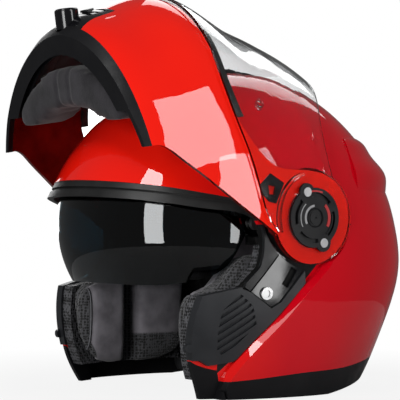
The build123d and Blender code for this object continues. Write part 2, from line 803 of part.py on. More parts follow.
def visor():
    """Clear visor with a cupped ear at each hinge."""
    outline = bar_across(visor_line())
    outside = bar_form(-visor_gap - visor_wall) & outline
    clear = bar_drum(ear_radius - ear_wall, shell_width / 4, half_span) + bar_drum(
        arm_pocket_radius, shell_width / 4, ear_low_x)
    skin = outside - bar_form(-visor_gap) - both(clear)
    cup = bar_drum(ear_radius, ear_low_x, half_span) - bar_drum(ear_radius - ear_wall, ear_low_x, half_span)
    ring = bar_drum(ear_radius, ear_low_x, ear_high_x) - bar_drum(ear_bore_radius, ear_low_x, ear_high_x)
    return skin + both(cup & outside) + both(ring) - both(insert_bore(insert_pin_shank + bolt_fit))


def screw_places():
    """Side places of the two screws of one ratchet plate."""
    turns = [math.radians(angle) for angle in ratchet_screw_angles]
    return [(ratchet_screw_reach * math.cos(turn), hinge_height + ratchet_screw_reach * math.sin(turn))
            for turn in turns]


def ratchet_plate():
    """Plate over one hinge, with its arc slots and two screw lugs that hold the visor ear."""
    low = arm_inner_x + arm_thickness
    plate = bar_drum(ratchet_radius, low, ratchet_high_x)
    for place in screw_places():
        plate += bar_drum(ratchet_lug_radius, ratchet_lug_low_x, ratchet_high_x, *place)
    for place in screw_places():
        plate -= bar_drum(screw_shank_radius + bolt_fit, low - overcut, half_span, *place)
        plate -= bar_drum(screw_head_radius + bolt_fit, screw_seat_x, half_span, *place)
    foot = ratchet_high_x - ratchet_arc_depth
    arc = bar_drum(ratchet_arc_high, foot, half_span) - bar_drum(ratchet_arc_low, foot, half_span)
    for start in ratchet_arc_angles:
        plate -= arc & raised(wedge_at(start, ratchet_arc_span_angle))
    return plate


def ratchet_screws():
    """Two screws in one ratchet plate."""
    low = arm_inner_x + arm_thickness
    screws = [bar_drum(screw_shank_radius, low, screw_seat_x, *place)
              + bar_drum(screw_head_radius, screw_seat_x, ratchet_high_x + screw_rise, *place)
              for place in screw_places()]
    return Compound(children=[screw.solid() for screw in screws])


def lens_band(grow_in, grow_out, start, end):
    """Band round the lens hinge line, between two offsets of the lens and two angles."""
    hold = lens_hold_share
    lines = []
    for grow in (grow_out, -grow_in):
        half, reach = lens_half_width + grow, lens_reach + grow
        lines.append(Bezier((half, 0), (half, reach * hold), (half * hold, reach), (0, reach))
                     + Bezier((0, reach), (-half * hold, reach), (-half, reach * hold), (-half, 0)))
    halves = (lens_half_width + grow_out, lens_half_width - grow_in)
    ends = Line((halves[0], 0), (halves[1], 0)) + Line((-halves[0], 0), (-halves[1], 0))
    face = make_face(lines[0] + lines[1] + ends)
    turned = face.rotate(Axis.X, 180 - start)
    band = revolve(turned, Axis.X, start - end)
    return band.moved(at(0, *lens_hinge))


def sun_lens():
    """Drop-down tinted lens with an ear at each end."""
    band = lens_band(lens_wall, 0.0, -lens_foot_angle, lens_top_angle)
    front = (open_front, lens_foot[0][1])
    top = (open_front, shell_top)
    edge = lens_foot[-1]
    keep = across(Spline(*lens_foot) + Polyline(edge, (lens_hinge[0], edge[1]), (lens_hinge[0], shell_top),
                                                top, front, lens_foot[0]))
    ear = drum(lens_ear_radius, lens_half_width - lens_wall * 2, lens_half_width, *lens_hinge)
    bore = drum(lens_pin_radius + lens_pin_fit, lens_pin_low - overcut, lens_pin_high, *lens_hinge)
    return (band & keep) + both(ear) - both(bore)


def lens_pin():
    """Pin on one side that the lens swings on, with a flange in the lining."""
    return (drum(lens_pin_radius, lens_pin_low, lens_pin_high, *lens_hinge)
            + drum(lens_pin_flange, lens_half_width + float_gap, lens_pin_high, *lens_hinge))


def lens_room():
    """Room at one lens ear for the ear, its pin and the nut of the hinge bolt."""
    ear = drum(lens_ear_radius + float_gap * 2, lens_pin_low - overcut, lens_half_width + float_gap,
               *lens_hinge)
    pin = drum(lens_pin_flange, lens_half_width, lens_pin_high, *lens_hinge)
    return ear + pin + drum(bolt_nut_radius + float_gap, bolt_end_x - overcut, half_span)


def impact_liner():
    """Foam liner of the dome and nape, hollowed for the head and the raised sun lens."""
    rear = rear_reach + skirt_depth
    below = Polyline((open_front, cheek_top), (cheek_rear, cheek_top), (cheek_rear, nape_foot),
                     (rear, nape_foot), (rear, -skirt_depth * 2), (open_front, -skirt_depth * 2), close=True)
    liner = core(shell_wall) - across(below) - across(port_line(block_port_back)) - lining_form(liner_gap)
    pocket = lens_band(lens_wall + lens_pocket_inner, chin_bulge, -lens_foot_angle,
                       lens_top_angle + lens_swing_angle + lens_pocket_over_angle)
    return liner - pocket - both(lens_room())


def cheek_block():
    """Foam block behind one cheek pad."""
    line = Polyline((open_front, cavity_foot), (cheek_rear, cavity_foot), (cheek_rear, cheek_top),
                    (open_front, cheek_top), close=True)
    zone = prism(line, 0, half_span) - across(port_line(block_port_back))
    block = (core(shell_wall) & zone) - lining_form(block_gap)
    pocket = lens_band(lens_wall + lens_pocket_inner, lens_pocket_outer, *block_pocket_angles)
    return block - pocket - lens_room()


def comfort_zone(low, front):
    """Side region of a comfort pad, above a height and behind a place."""
    rear = rear_reach * 2
    return across(Polyline((front, low), (rear, low), (rear, shell_top), (front, shell_top), close=True))


def crown_pad():
    """Comfort pad inside the dome."""
    zone = comfort_zone(cheek_top + crown_foot, brow_line[0][0])
    return (lining_form(liner_gap + pad_seat) & zone) - lining_form(liner_gap + comfort_depth)


def nape_pad():
    """Comfort pad inside the nape."""
    top = cheek_top + crown_foot - pad_parting
    zone = comfort_zone(nape_foot, nape_front) - comfort_zone(top, -rear_reach)
    return (lining_form(liner_gap + pad_seat) & zone) - lining_form(liner_gap + comfort_depth)


def neck_roll():
    """Padded roll round the back of the neck opening."""
    front = cheek_rear + pad_parting
    zone = across(Polyline((front, -skirt_depth), (rear_reach, -skirt_depth), (rear_reach, roll_top),
                           (front, roll_top), close=True))
    return above_stand((lining_form(roll_gap) & zone) - lining_form(roll_inner_gap))


def cheek_pad():
    """Crowned cheek pad on one side."""
    wires = []
    middle_y, middle_z = pad_middle
    for x, share in zip(pad_places, pad_shares):
        points = [(x, middle_y + (y - middle_y) * share, middle_z + (z - middle_z) * share)
                  for y, z in pad_outline]
        wires.append(Wire([Edge.make_spline(points, periodic=True)]).moved(at(0, 0, 0)))
    return Solid.make_loft(wires, True) & lining_form(pad_gap)


def chin_pad():
    """Bean-shaped pad inside the chin bar."""
    points = list(chin_pad_side) + [(-x, z) for x, z in reversed(chin_pad_side[1:-1])]
    face = make_face(Plane.XZ * Spline(*points, periodic=True))
    block = raised(extrude(face, amount=chin_reach * 2, dir=(0, -1, 0)))
    return (bar_form(bar_frame_gap + pad_seat, True) & block) - bar_form(bar_frame_gap + chin_pad_depth, True)


def crown_track(along, up, width, length, thickness):
    """Block in the track of the crown vent, set back and up from the middle of its floor."""
    y, z = crown_track_place
    place = at(0, y, z, (-crown_track_angle, 0, 0)) * Location((0, along, up))
    return place * Box(width, length, thickness, align=(Align.CENTER, Align.CENTER, Align.MIN))


def top_vent():
    """Vent body on the crown, with the track of its slider."""
    face = make_face(Ellipse(crown_vent_half_width, crown_vent_half_length).edges())
    column = extrude(face.moved(at(0, crown_vent_middle, shell_top / 2)), amount=shell_top)
    width, length = crown_slider_width + crown_slider_fit * 2, crown_slider_length + crown_slider_fit * 2
    track = crown_track(0, 0, width, length + crown_slider_travel, shell_wall * 2)
    return (form(-crown_vent_rise) & column) - form(0.0) - track


def crown_slider():
    """Slider in the track of the crown vent, which draws the sun lens up as it goes back."""
    return crown_track(-crown_slider_travel / 2, crown_slider_fit, crown_slider_width, crown_slider_length,
                       crown_slider_thickness)


def main():
    single = {
        "outer_shell": outer_shell,
        "shell_edge_trim": shell_edge_trim,
        "brow_seal": brow_seal,
        "impact_liner": impact_liner,
        "crown_pad": crown_pad,
        "nape_pad": nape_pad,
        "neck_roll": neck_roll,
        "sun_lens": sun_lens,
        "top_vent": top_vent,
        "crown_slider": crown_slider,
        "rear_spoiler": rear_spoiler,
        "chin_vent_slider": chin_vent_slider,
        "chin_bar_shell": chin_bar_shell,
        "chin_vent_panel": chin_vent_panel,
        "chin_lip_trim": chin_lip_trim,
        "chin_frame": chin_frame,
        "chin_pad": chin_pad,
        "bar_seal": bar_seal,
        "release_button": release_button,
        "visor": visor,
    }
    paired = {
        "port_frame": port_frame,
        "jaw_panel": jaw_panel,
        "side_plate": side_plate,
        "striker_pin": striker_pin,
        "hinge_bolt": hinge_bolt,
        "lens_pin": lens_pin,
        "cheek_block": cheek_block,
        "cheek_pad": cheek_pad,
        "ratchet_plate": ratchet_plate,
        "ratchet_screws": ratchet_screws,
        "visor_hook": visor_hook,
        "insert_pin": insert_pin,
        "latch_hook": latch_hook,
    }
    parts = {}
    for name, build in single.items():
        parts[name] = build()
    for name, build in paired.items():
        solid = build()
        parts[name + "_left"], parts[name + "_right"] = solid, mirror(solid, Plane.YZ)
    os.makedirs("parts", exist_ok=True)
    for name, solid in parts.items():
        export_step(solid, f"parts/{name}.step")


main()
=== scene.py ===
import math

import bpy
from mathutils import Matrix, Vector
from mathutils.bvhtree import BVHTree


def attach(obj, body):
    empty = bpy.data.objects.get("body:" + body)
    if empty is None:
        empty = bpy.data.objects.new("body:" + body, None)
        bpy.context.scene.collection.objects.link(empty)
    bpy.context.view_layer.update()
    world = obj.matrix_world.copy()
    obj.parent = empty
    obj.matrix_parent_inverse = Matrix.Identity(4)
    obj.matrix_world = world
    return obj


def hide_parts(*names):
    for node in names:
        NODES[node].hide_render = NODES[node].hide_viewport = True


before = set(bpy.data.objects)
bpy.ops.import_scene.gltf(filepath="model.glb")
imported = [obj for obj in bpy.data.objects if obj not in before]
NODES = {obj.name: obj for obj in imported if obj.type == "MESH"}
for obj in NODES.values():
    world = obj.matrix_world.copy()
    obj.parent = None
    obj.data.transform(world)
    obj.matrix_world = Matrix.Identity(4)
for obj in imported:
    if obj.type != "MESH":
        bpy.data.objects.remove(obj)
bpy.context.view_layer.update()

# Hinge line of the chin bar, in metres
HINGE_DEPTH = -0.00265
HINGE_HEIGHT = 0.132
RAISED_ANGLE = math.radians(82.0)
RAISE = (Matrix.Translation((0.0, HINGE_DEPTH, HINGE_HEIGHT))
         @ Matrix.Rotation(-RAISED_ANGLE, 4, "X")
         @ Matrix.Translation((0.0, 0.0, -HINGE_HEIGHT)))
SIDES = ((1.0, "left"), (-1.0, "right"))

# Cheek pads: where the suede begins behind the front band, the distance of the cheek face from the
# middle plane, and the hollow for the ear behind the front roll
SUEDE_FRONT = -0.078
CHEEK_FACE = 0.060
EAR_FRONT, EAR_BACK, EAR_SLOPE = -0.052, -0.037, 0.010
EAR_DEPTH, REAR_RISE = 0.022, 0.012

# Zones of a finish, each a direction and the two distances along it between which the zone sets in
# The four recess zones bound the floor of the arm recess, which the shell lacquer paints black as
# painted shade
RECESS_BEHIND_LEDGE = ((0.0, -0.712, 0.702), 0.0636, 0.0640)
RECESS_BELOW_BROW = ((0.0, 0.0, -1.0), -0.1275, -0.1270)
RECESS_ABOVE_FOOT = ((0.0, 0.0, 1.0), 0.0330, 0.0335)
RECESS_BEHIND_NOSE = ((0.0, 1.0, 0.0), -0.0715, -0.0710)
# Painted light: the shell's red runs lighter and more orange towards the front, where the lamps
# fall on it
PAINTED_LIGHT_FRONT = ((0.0, -1.0, 0.0), 0.02, 0.10)
ROLL_START = ((0.0, 1.0, 0.0), SUEDE_FRONT, SUEDE_FRONT + 0.0004)
ROLL_LOWER_EDGE = ((0.0, 1.0, 0.55), -0.0604, -0.0600)
ROLL_END = ((0.0, -1.0, 0.0), 0.040, 0.044)
REAR_START = ((0.0, 1.0, 0.0), -0.036, -0.033)
REAR_FOOT = ((0.0, 0.0, 1.0), 0.036, 0.038)
# Painted shade: the rear suede patch fades softly into the dark band at its top
REAR_TOP_PAINTED_FADE = ((0.0, 0.0, -1.0), -0.080, -0.072)
CHEEK_SIDE = (0.078, 0.077)
CHIN_BAR_MIDDLE = (0.0, -0.074, 0.122)


def combined(tree, kind, operation, first, second):
    """Output of a Math or Vector Math node of two sources, either of which may be a value."""
    node = tree.nodes.new(kind)
    node.operation = operation
    for socket, source in zip(node.inputs, (first, second)):
        if isinstance(source, bpy.types.NodeSocket):
            tree.links.new(source, socket)
        else:
            socket.default_value = source
    return node.outputs["Value" if operation in ("DOT_PRODUCT", "LENGTH") else 0]


class Finish:
    """A material under construction, with its main shader."""

    def __init__(self, name, colour, roughness, metal=0.0):
        self.material = bpy.data.materials.new(name)
        self.material.use_nodes = True
        self.tree = self.material.node_tree
        self.shader = self.tree.nodes["Principled BSDF"]
        self.set("Base Color", (*colour, 1.0))
        self.set("Roughness", roughness)
        self.set("Metallic", metal)
        self.place = self.add("ShaderNodeTexCoord")

    def add(self, kind, **values):
        node = self.tree.nodes.new(kind)
        for key, value in values.items():
            setattr(node, key, value)
        return node

    def link(self, start, end):
        self.tree.links.new(start, end)

    def set(self, socket, value):
        self.shader.inputs[socket].default_value = value

    def number(self, operation, first, second):
        return combined(self.tree, "ShaderNodeMath", operation, first, second)

    def vector(self, operation, first, second):
        return combined(self.tree, "ShaderNodeVectorMath", operation, first, second)

    def stretched(self, scale=(1.0, 1.0, 1.0), turn=(0.0, 0.0, 0.0)):
        """Object coordinates, stretched and turned."""
        mapping = self.add("ShaderNodeMapping")
        mapping.inputs["Scale"].default_value = scale
        mapping.inputs["Rotation"].default_value = turn
        self.link(self.place.outputs["Object"], mapping.inputs["Vector"])
        return mapping.outputs["Vector"]

    def noise(self, scale, detail=3.0, where=None):
        node = self.add("ShaderNodeTexNoise")
        node.inputs["Scale"].default_value = scale
        node.inputs["Detail"].default_value = detail
        self.link(where or self.place.outputs["Object"], node.inputs["Vector"])
        return node.outputs["Fac"]

    def cells(self, scale, uneven=1.0, where=None):
        node = self.add("ShaderNodeTexVoronoi")
        node.inputs["Scale"].default_value = scale
        node.inputs["Randomness"].default_value = uneven
        self.link(where or self.place.outputs["Object"], node.inputs["Vector"])
        return node.outputs["Distance"]

    def step(self, source, start, end):
        """Runs from 0 to 1 between two values of a source."""
        node = self.add("ShaderNodeMapRange")
        node.inputs["From Min"].default_value = start
        node.inputs["From Max"].default_value = end
        self.link(source, node.inputs["Value"])
        return node.outputs["Result"]

    def along(self, direction, start, end):
        """Runs from 0 to 1 between two distances along a direction."""
        reach = self.vector("DOT_PRODUCT", self.place.outputs["Object"], direction)
        return self.step(reach, start, end)

    def outwards(self, centre):
        """1 on faces that look away from a point, 0 on faces that look towards it."""
        arm = self.vector("SUBTRACT", self.place.outputs["Object"], centre)
        lean = self.vector("DOT_PRODUCT", self.place.outputs["Normal"], arm)
        return self.step(lean, -0.004, 0.004)

    def sideways(self, start, end):
        """Runs from 0 to 1 between two distances from the middle plane."""
        split = self.add("ShaderNodeSeparateXYZ")
        self.link(self.place.outputs["Object"], split.inputs["Vector"])
        away = self.add("ShaderNodeMath", operation="ABSOLUTE")
        self.link(split.outputs["X"], away.inputs[0])
        return self.step(away.outputs[0], start, end)

    def ramp(self, source, low, high, start=0.0, end=1.0):
        """Colours or grey values between two places of a source."""
        node = self.add("ShaderNodeValToRGB")
        first, last = node.color_ramp.elements
        first.position, last.position = start, end
        first.color = (*low, 1.0) if isinstance(low, tuple) else (low, low, low, 1.0)
        last.color = (*high, 1.0) if isinstance(high, tuple) else (high, high, high, 1.0)
        self.link(source, node.inputs["Fac"])
        return node.outputs["Color"]

    def between(self, mask, first, second):
        """First colour where the mask is 0, second where it is 1."""
        node = self.add("ShaderNodeMix", data_type="RGBA")
        self.link(mask, node.inputs[0])
        self.link(first, node.inputs[6])
        self.link(second, node.inputs[7])
        return node.outputs[2]

    def tone(self, source, low, high, start=0.3, end=0.7):
        """Base colour that runs between two colours."""
        colour = self.ramp(source, low, high, start, end)
        self.link(colour, self.shader.inputs["Base Color"])
        return colour

    def gloss(self, source, low, high, start=0.3, end=0.7):
        """Roughness that runs between two values."""
        self.link(self.ramp(source, low, high, start, end), self.shader.inputs["Roughness"])

    def bump(self, source, height, strength=1.0, after=None):
        node = self.add("ShaderNodeBump")
        node.inputs["Strength"].default_value = strength
        node.inputs["Distance"].default_value = height
        self.link(source, node.inputs["Height"])
        if after:
            self.link(after, node.inputs["Normal"])
        self.link(node.outputs["Normal"], self.shader.inputs["Normal"])
        return node.outputs["Normal"]


def lacquer(name, colour, shade):
    """Glossy coloured lacquer under a clear coat, with faint orange peel."""
    paint = Finish(name, colour, 0.5)
    paint.tone(paint.noise(7.0), shade, colour)
    paint.gloss(paint.noise(60.0), 0.42, 0.56)
    paint.set("Specular IOR Level", 0.0)
    paint.set("Coat Weight", 1.0)
    paint.set("Coat Roughness", 0.015)
    paint.set("Coat IOR", 1.55)
    paint.bump(paint.noise(420.0, 2.0), 0.00003, 0.2)
    return paint


def shell_lacquer():
    """Red lacquer of the shell, painted lighter and more orange towards the front as painted
    light, with the floor of the arm recess painted black as painted shade.
    """
    paint = lacquer("shell_lacquer", (0.58, 0.001, 0.008), (0.50, 0.001, 0.008))
    red = paint.shader.inputs["Base Color"].links[0].from_socket
    # Painted light: lighter, more orange red for the front of the shell
    painted_lit_red = paint.ramp(paint.noise(7.0), (0.80, 0.008, 0.003), (0.84, 0.011, 0.004), 0.3, 0.7)
    red = paint.between(paint.along(*PAINTED_LIGHT_FRONT), red, painted_lit_red)
    # Painted shade: the floor of the arm recess is painted black
    behind_ledge = paint.along(*RECESS_BEHIND_LEDGE)
    below_brow = paint.along(*RECESS_BELOW_BROW)
    behind_foot = paint.number("MAXIMUM", paint.along(*RECESS_ABOVE_FOOT),
                               paint.along(*RECESS_BEHIND_NOSE))
    floor = paint.number("MULTIPLY", behind_ledge, below_brow)
    floor = paint.number("MULTIPLY", floor, behind_foot)
    black = paint.ramp(paint.noise(60.0), 0.006, 0.012)
    paint.link(paint.between(floor, red, black), paint.shader.inputs["Base Color"])
    return paint.material


def bar_lacquer():
    """Red lacquer of the chin bar, lighter and more orange than the shell's as painted light, and
    dark on its inner faces as painted shade.
    """
    # Painted light: the chin bar's red is lighter and more orange than the shell's
    paint = lacquer("bar_lacquer", (0.82, 0.012, 0.003), (0.74, 0.008, 0.003))
    red = paint.shader.inputs["Base Color"].links[0].from_socket
    # Painted shade: dark red on the inner faces of the chin bar
    inside = paint.ramp(paint.noise(45.0, 4.0), (0.060, 0.001, 0.001), (0.150, 0.003, 0.002),
                        0.3, 0.7)
    outer = paint.outwards(CHIN_BAR_MIDDLE)
    paint.link(paint.between(outer, inside, red), paint.shader.inputs["Base Color"])
    return paint.material


def moulded(name, colour, shade, roughness, grain=900.0, depth=0.00006, shine=0.35):
    """Moulded plastic with a fine grain and handling marks."""
    plastic = Finish(name, colour, roughness)
    plastic.tone(plastic.noise(30.0), shade, colour)
    plastic.gloss(plastic.noise(70.0, 4.0), roughness * 0.8, roughness * 1.25)
    plastic.set("Specular IOR Level", shine)
    plastic.bump(plastic.noise(grain, 2.0), depth, 0.5)
    return plastic.material


def polished_black():
    """Glossy black plastic."""
    plastic = Finish("polished_black", (0.004, 0.004, 0.005), 0.1)
    plastic.tone(plastic.noise(20.0), (0.003, 0.003, 0.004), (0.007, 0.007, 0.008))
    plastic.gloss(plastic.noise(90.0, 4.0), 0.08, 0.18)
    plastic.bump(plastic.noise(300.0, 2.0), 0.00003, 0.3)
    return plastic.material


def rubber():
    """Soft black rubber of the seals."""
    soft = Finish("seal_rubber", (0.010, 0.010, 0.010), 0.5)
    soft.tone(soft.noise(60.0), (0.006, 0.006, 0.006), (0.013, 0.013, 0.013))
    soft.gloss(soft.noise(40.0, 4.0), 0.34, 0.5)
    soft.bump(soft.noise(1400.0, 2.0), 0.00005, 0.5)
    return soft.material


def foam():
    """Black beaded foam."""
    bead = Finish("beaded_foam", (0.008, 0.008, 0.008), 0.9)
    cell = bead.cells(260.0)
    bead.tone(cell, (0.011, 0.011, 0.011), (0.004, 0.004, 0.004), 0.2, 0.7)
    bead.set("Specular IOR Level", 0.15)
    bead.bump(cell, 0.0003, 0.6)
    return bead.material


def steel():
    """Bright machined steel."""
    metal = Finish("bright_steel", (0.50, 0.50, 0.50), 0.22, 1.0)
    grain = metal.noise(500.0, 4.0, metal.stretched((1.0, 12.0, 1.0)))
    metal.tone(metal.noise(80.0), (0.40, 0.40, 0.41), (0.52, 0.52, 0.52))
    metal.gloss(grain, 0.28, 0.42)
    metal.bump(grain, 0.00002, 0.4)
    return metal.material


def clear_sheet():
    """Clear hard-coated visor plastic."""
    clear = Finish("clear_visor", (0.90, 0.91, 0.92), 0.0)
    clear.tone(clear.noise(8.0), (0.88, 0.89, 0.90), (0.93, 0.94, 0.94))
    clear.set("Transmission Weight", 1.0)
    clear.set("IOR", 1.35)
    clear.gloss(clear.noise(25.0, 4.0), 0.0, 0.03)
    return clear.material


def smoke_sheet():
    """Dark smoke tinted lens with a faint blue cast."""
    smoke = Finish("smoke_lens", (0.017, 0.040, 0.050), 0.0)
    smoke.tone(smoke.noise(9.0, 1.0), (0.014, 0.034, 0.045), (0.020, 0.044, 0.056))
    smoke.set("Transmission Weight", 1.0)
    smoke.set("IOR", 1.58)
    smoke.gloss(smoke.noise(30.0, 3.0), 0.0, 0.03)
    return smoke.material


def suede(name, colour, shade):
    """Short-haired suede cloth."""
    cloth = Finish(name, colour, 0.95)
    nap = cloth.noise(900.0, 3.0)
    cloth.tone(cloth.noise(60.0, 5.0), shade, colour, 0.35, 0.65)
    cloth.gloss(cloth.noise(90.0), 0.85, 1.0)
    cloth.set("Specular IOR Level", 0.1)
    cloth.set("Sheen Weight", 0.15)
    cloth.set("Sheen Roughness", 0.5)
    cloth.bump(nap, 0.0004, 0.7, cloth.bump(cloth.noise(110.0, 2.0), 0.0008, 0.35))
    return cloth.material


def spacer_mesh(cloth, dark, light):
    """Colour and bump height of an open spacer fabric: dark holes between lighter threads."""
    hole = cloth.step(cloth.cells(440.0, 0.35), 0.36, 0.56)
    return cloth.ramp(hole, dark, light), hole


def mesh_cloth():
    """Open black spacer fabric."""
    cloth = Finish("spacer_cloth", (0.02, 0.02, 0.022), 0.6)
    colour, hole = spacer_mesh(cloth, (0.002, 0.002, 0.002), (0.085, 0.085, 0.092))
    cloth.link(colour, cloth.shader.inputs["Base Color"])
    cloth.gloss(cloth.noise(90.0), 0.5, 0.7)
    cloth.bump(hole, 0.0008, 0.9)
    return cloth.material


def cheek_cover():
    """Cheek pad cover: suede on the cheek side, painted lighter as painted light, open spacer
    fabric on the front band, and a soft fade from suede to the dark band at the top of the rear
    patch as painted shade.
    """
    cloth = Finish("cheek_cover", (0.05, 0.05, 0.055), 0.85)
    # Painted light: the suede is painted lighter than the grey suede, standing in for light on the
    # shaded cheek pads
    painted_lit_pile = cloth.ramp(cloth.noise(60.0, 5.0), (0.100, 0.093, 0.104), (0.190, 0.178, 0.198),
                      0.35, 0.65)
    threads, hole = spacer_mesh(cloth, (0.002, 0.002, 0.002), (0.055, 0.055, 0.060))
    roll = cloth.number("MULTIPLY", cloth.along(*ROLL_START), cloth.along(*ROLL_LOWER_EDGE))
    roll = cloth.number("MULTIPLY", roll, cloth.along(*ROLL_END))
    behind = cloth.number("MULTIPLY", cloth.along(*REAR_START), cloth.along(*REAR_FOOT))
    behind = cloth.number("MULTIPLY", behind, cloth.along(*REAR_TOP_PAINTED_FADE))
    cheek_side = cloth.number("ADD", roll, behind)
    cheek_side = cloth.number("MULTIPLY", cheek_side, cloth.sideways(*CHEEK_SIDE))
    band = cloth.number("SUBTRACT", 1.0, cheek_side)
    cloth.link(cloth.between(band, painted_lit_pile, threads), cloth.shader.inputs["Base Color"])
    relief = cloth.between(band, cloth.ramp(cloth.noise(900.0), 0.3, 0.5), hole)
    cloth.gloss(cloth.noise(90.0), 0.7, 0.95)
    cloth.set("Sheen Weight", 0.2)
    cloth.bump(relief, 0.0007, 0.9)
    return cloth.material


def woven_cloth():
    """Dark coated cloth of the neck roll, with a fine weave."""
    cloth = Finish("woven_cloth", (0.016, 0.016, 0.017), 0.6)
    weave = cloth.noise(700.0, 2.0, cloth.stretched((1.0, 1.0, 3.0)))
    cloth.tone(cloth.noise(50.0, 4.0), (0.011, 0.011, 0.012), (0.026, 0.026, 0.028))
    cloth.gloss(weave, 0.45, 0.7)
    cloth.bump(weave, 0.0002, 0.6)
    return cloth.material


def printed(name, colour):
    """Flat colour of pad-printed ink, a dyed bit of plastic or a painted highlight."""
    ink = Finish(name, colour, 0.4)
    ink.tone(ink.noise(200.0), tuple(part * 0.8 for part in colour), colour)
    ink.gloss(ink.noise(150.0), 0.34, 0.46)
    return ink.material


FINISHES = {
    "shell_lacquer": shell_lacquer(),
    "bar_lacquer": bar_lacquer(),
    "satin_black": moulded("satin_black", (0.009, 0.009, 0.010), (0.006, 0.006, 0.007), 0.34,
                           shine=0.25),
    "panel_black": moulded("panel_black", (0.022, 0.023, 0.026), (0.014, 0.015, 0.017), 0.42),
    "grained_black": moulded("grained_black", (0.008, 0.008, 0.009), (0.005, 0.005, 0.006), 0.42,
                             grain=500.0, depth=0.0001, shine=0.22),
    "polished_black": polished_black(),
    "rubber": rubber(),
    "foam": foam(),
    "steel": steel(),
    "clear": clear_sheet(),
    "smoke": smoke_sheet(),
    "grey_suede": suede("grey_suede", (0.030, 0.028, 0.032), (0.017, 0.016, 0.018)),
    # Painted light: a lighter copy of the grey suede, for the nape pad
    "painted_lit_suede": suede("painted_lit_suede", (0.125, 0.108, 0.118), (0.070, 0.060, 0.068)),
    "mesh_cloth": mesh_cloth(),
    "cheek_cover": cheek_cover(),
    "woven_cloth": woven_cloth(),
    "piping": moulded("piping_cord", (0.16, 0.16, 0.17), (0.10, 0.10, 0.11), 0.5),
    "red_mark": printed("red_mark", (0.42, 0.008, 0.010)),
    "grey_mark": printed("grey_mark", (0.30, 0.30, 0.31)),
    # Painted highlight: white for the glint in the slot of the side plate
    "white_painted_highlight": printed("white_painted_highlight", (0.62, 0.62, 0.60)),
}

# Finish of each CAD node, without its side; the rest are satin black
NODE_FINISH = {
    "outer_shell": "shell_lacquer", "rear_spoiler": "shell_lacquer",
    "chin_bar_shell": "bar_lacquer",
    "brow_seal": "rubber", "bar_seal": "rubber",
    "impact_liner": "foam", "cheek_block": "mesh_cloth",
    "sun_lens": "smoke", "visor": "clear", "insert_pin": "clear",
    "side_plate": "polished_black", "chin_vent_panel": "polished_black",
    "release_button": "polished_black", "visor_hook": "polished_black",
    "striker_pin": "steel", "hinge_bolt": "steel", "ratchet_screws": "steel", "lens_pin": "steel",
    "shell_edge_trim": "grained_black", "chin_frame": "grained_black",
    "chin_lip_trim": "grained_black", "jaw_panel": "panel_black",
}


def plain_name(node):
    """Name of a node without its side."""
    for side in ("_left", "_right"):
        node = node.removesuffix(side)
    return node


def paint(piece, finish):
    """Gives a piece one finish all over."""
    piece.data.materials.clear()
    piece.data.materials.append(FINISHES[finish])


def take(piece):
    """Makes a piece the only one selected."""
    bpy.ops.object.select_all(action="DESELECT")
    piece.select_set(True)
    bpy.context.view_layer.objects.active = piece


def rest_on(piece, name, finish, body):
    """Names and paints a finished piece and gives it its body."""
    piece.name = name
    paint(piece, finish)
    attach(piece, body)
    return piece


def copy_of(node, name):
    """Merged copy of a CAD node's mesh, as a new piece."""
    piece = bpy.data.objects.new(name, NODES[node].data.copy())
    bpy.context.collection.objects.link(piece)
    take(piece)
    bpy.ops.object.mode_set(mode="EDIT")
    bpy.ops.mesh.select_all(action="SELECT")
    bpy.ops.mesh.remove_doubles(threshold=0.00002)
    bpy.ops.object.mode_set(mode="OBJECT")
    return piece


def rounded(piece, voxel, shrink):
    """Even quad skin over a piece, drawn in a little and softened at its edges."""
    take(piece)
    if shrink:
        bpy.ops.object.mode_set(mode="EDIT")
        bpy.ops.mesh.select_all(action="SELECT")
        bpy.ops.transform.shrink_fatten(value=-shrink)
        bpy.ops.object.mode_set(mode="OBJECT")
    skin = piece.modifiers.new("skin", "REMESH")
    skin.mode = "VOXEL"
    skin.voxel_size = voxel
    bpy.ops.object.modifier_apply(modifier=skin.name)
    soften = piece.modifiers.new("soften", "SMOOTH")
    soften.factor = 0.5
    soften.iterations = 4
    bpy.ops.object.modifier_apply(modifier=soften.name)


# Air pressure that rounds the pads out, the frames it acts for, and how far a pad may pass the
# skin of its own room, in metres
PAD_PRESSURE = 4.0
PAD_FRAMES = 20
PAD_SLACK = 0.0002


def inflated(pads):
    """Lets pressure round the pads out, each up to its own room."""
    rooms = {pad: BVHTree.FromPolygons([v.co for v in room.data.vertices],
                                       [p.vertices for p in room.data.polygons])
             for pad, room, travel in pads}
    starts = {pad: [v.co.copy() for v in pad.data.vertices] for pad, room, travel in pads}
    for pad, room, travel in pads:
        cloth = pad.modifiers.new("stuffing", "CLOTH")
        cloth.settings.use_pressure = True
        cloth.settings.uniform_pressure_force = PAD_PRESSURE
        cloth.settings.effector_weights.gravity = 0.0
    for step in range(1, PAD_FRAMES + 1):
        bpy.context.scene.frame_set(step)
    for pad, room, travel in pads:
        take(pad)
        bpy.ops.object.modifier_apply(modifier="stuffing")
    bpy.context.scene.frame_set(1)
    for pad, room, travel in pads:
        for vertex, start in zip(pad.data.vertices, starts[pad]):
            move = vertex.co - start
            if move.length > travel:
                vertex.co = start + move.normalized() * travel
            foot, normal, face, reach = rooms[pad].find_nearest(vertex.co)
            if (vertex.co - foot).dot(normal) > PAD_SLACK:
                vertex.co = foot + normal * PAD_SLACK
        take(pad)
        finer = pad.modifiers.new("finer", "SUBSURF")
        finer.levels = finer.render_levels = 1
        bpy.ops.object.modifier_apply(modifier=finer.name)
        bpy.ops.object.shade_smooth()
        bpy.data.objects.remove(room)


def pressed_seam(piece, point, normal, depth=0.0012, width=0.0018, keep=None):
    """Sews a groove where a plane cuts a piece."""
    point, normal = Vector(point), Vector(normal).normalized()
    falls = []
    for vertex in piece.data.vertices:
        if keep is None or keep(vertex.co):
            away = (vertex.co - point).dot(normal) / width
            falls.append((vertex.index, vertex.normal * (depth * math.exp(-away * away))))
    for index, fall in falls:
        piece.data.vertices[index].co -= fall


